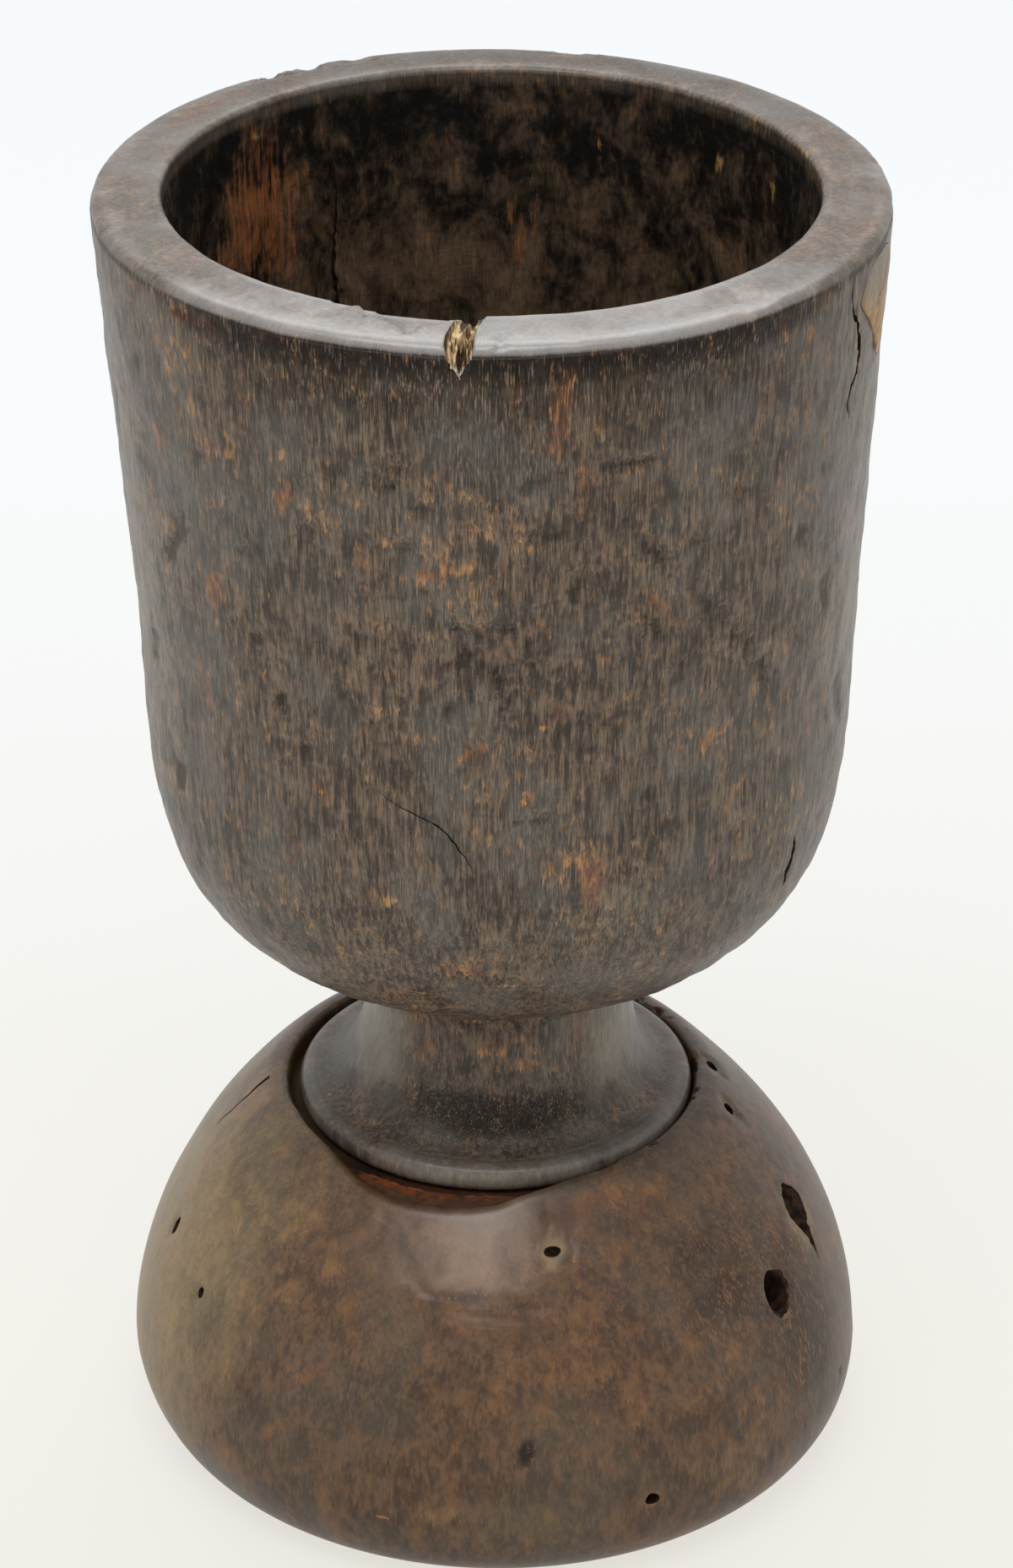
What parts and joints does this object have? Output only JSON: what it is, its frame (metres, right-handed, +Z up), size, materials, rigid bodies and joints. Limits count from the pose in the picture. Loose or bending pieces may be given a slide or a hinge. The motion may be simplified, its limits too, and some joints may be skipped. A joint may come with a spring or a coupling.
{
  "type": "footed wooden cup",
  "caption": "Turned wooden cup: deep straight-sided bowl on a coved waist and thin collar, spigoted into a domed foot, with a filler mend below the rim.",
  "frame": {"origin": "centre of the foot's flat underside, which is the middle of the bounding box's bottom", "axes": "+Z up along the turning axis; the chipped side of the rim, the pictured front, faces -Y"},
  "size_m": [0.1206, 0.1206, 0.2174],
  "materials": {
    "bowl_wood": "old dark wood with a worn, slightly greasy surface and open fibres",
    "foot_wood": "old dark red-brown wood, smoother and glossier than the bowl",
    "filler": "smooth ochre wood filler, matt"
  },
  "bodies": {
    "root": {"bowl": "bowl_wood", "foot": "foot_wood", "rim_filler": "filler"}
  },
  "joints": []
}
